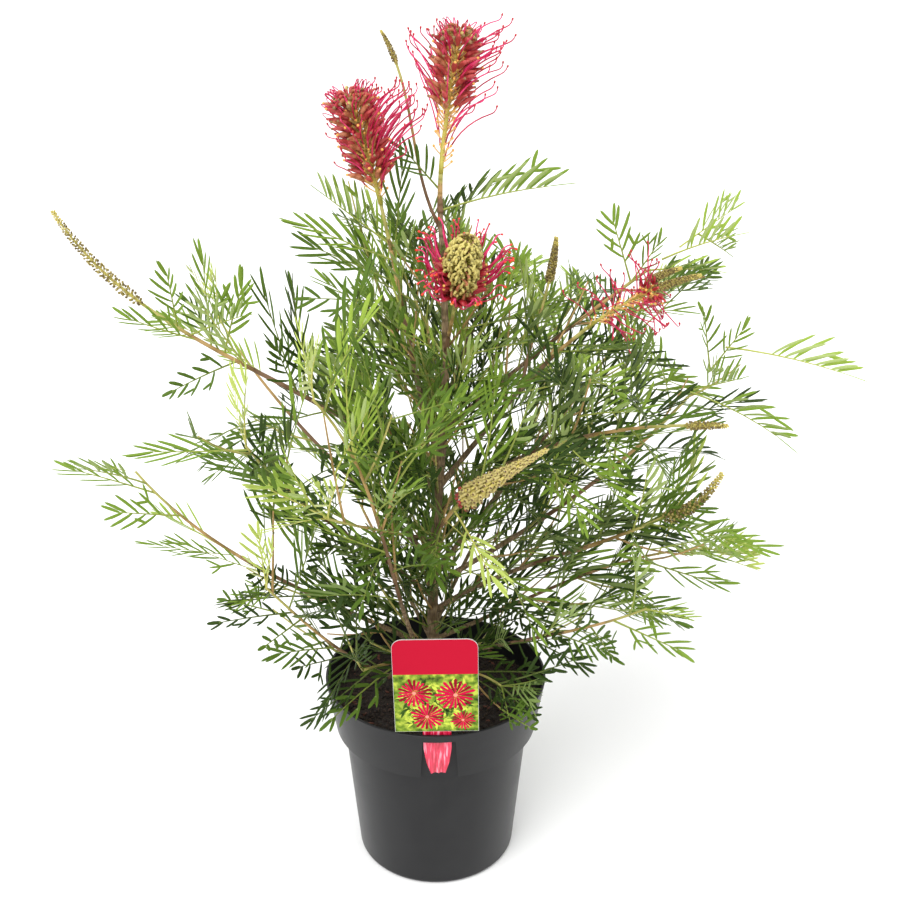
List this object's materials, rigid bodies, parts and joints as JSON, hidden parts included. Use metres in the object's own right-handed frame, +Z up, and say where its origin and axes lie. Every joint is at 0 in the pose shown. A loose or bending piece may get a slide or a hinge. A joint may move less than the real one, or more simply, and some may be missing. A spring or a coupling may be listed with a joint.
{
  "type": "potted flowering shrub",
  "caption": "Open flowering shrub with arching stems, lobed comb-like leaves and pink spidery flower heads, growing in a round black nursery pot with a plant label on a stake.",
  "frame": {"origin": "centre of the pot's flat underside, which the plant stands on", "axes": "+Z up along the pot's axis and the leaning stem; -Y towards the camera, the side with the plant label; +X to the right of the picture"},
  "size_m": [0.6885, 0.5059, 0.7663],
  "materials": {
    "pot": "matte moulded charcoal-black plastic",
    "potting_mix": "dark composted bark, damp",
    "label": "printed glossy plastic card on a red stake",
    "bark": "tan-brown young bark",
    "foliage": "matt green leaves, paler beneath",
    "blossom": "raspberry-pink flowers",
    "buds": "olive-brown flower buds with yellowish tips"
  },
  "bodies": {
    "root": {"bloom_leader": "blossom", "bloom_left": "blossom", "bloom_mid": "blossom", "bloom_right": "blossom", "bough_back_left": "bark", "bough_back_left_high": "bark", "bough_back_low_left": "bark", "bough_back_low_right": "bark", "bough_back_mid": "bark", "bough_back_right": "bark", "bough_back_right_high": "bark", "bough_bloom_left": "bark", "bough_bloom_right": "bark", "bough_front_bud": "bark", "bough_front_left": "bark", "bough_left_long": "bark", "bough_left_low": "bark", "bough_left_lowest": "bark", "bough_left_mid": "bark", "bough_right_long": "bark", "bough_right_low": "bark", "bough_right_lower": "bark", "bough_right_lowest": "bark", "bough_right_mid": "bark", "bough_right_upper": "bark", "buds_front_bud": "buds", "buds_left_long": "buds", "buds_right_low": "buds", "foliage_back_left": "foliage", "foliage_back_left_high": "foliage", "foliage_back_low_left": "foliage", "foliage_back_low_right": "foliage", "foliage_back_mid": "foliage", "foliage_back_right": "foliage", "foliage_back_right_high": "foliage", "foliage_bloom_left": "foliage", "foliage_bloom_right": "foliage", "foliage_front_bud": "foliage", "foliage_front_left": "foliage", "foliage_front_shoot": "foliage", "foliage_leader": "foliage", "foliage_leader_side": "foliage", "foliage_left_long": "foliage", "foliage_left_low": "foliage", "foliage_left_lowest": "foliage", "foliage_left_mid": "foliage", "foliage_right_long": "foliage", "foliage_right_low": "foliage", "foliage_right_lower": "foliage", "foliage_right_lowest": "foliage", "foliage_right_mid": "foliage", "foliage_right_upper": "foliage", "foliage_rim_left": "foliage", "foliage_rim_right": "foliage", "foliage_upright": "foliage", "label": "label", "pot": "pot", "soil": "potting_mix", "trunk": "bark"}
  },
  "joints": []
}
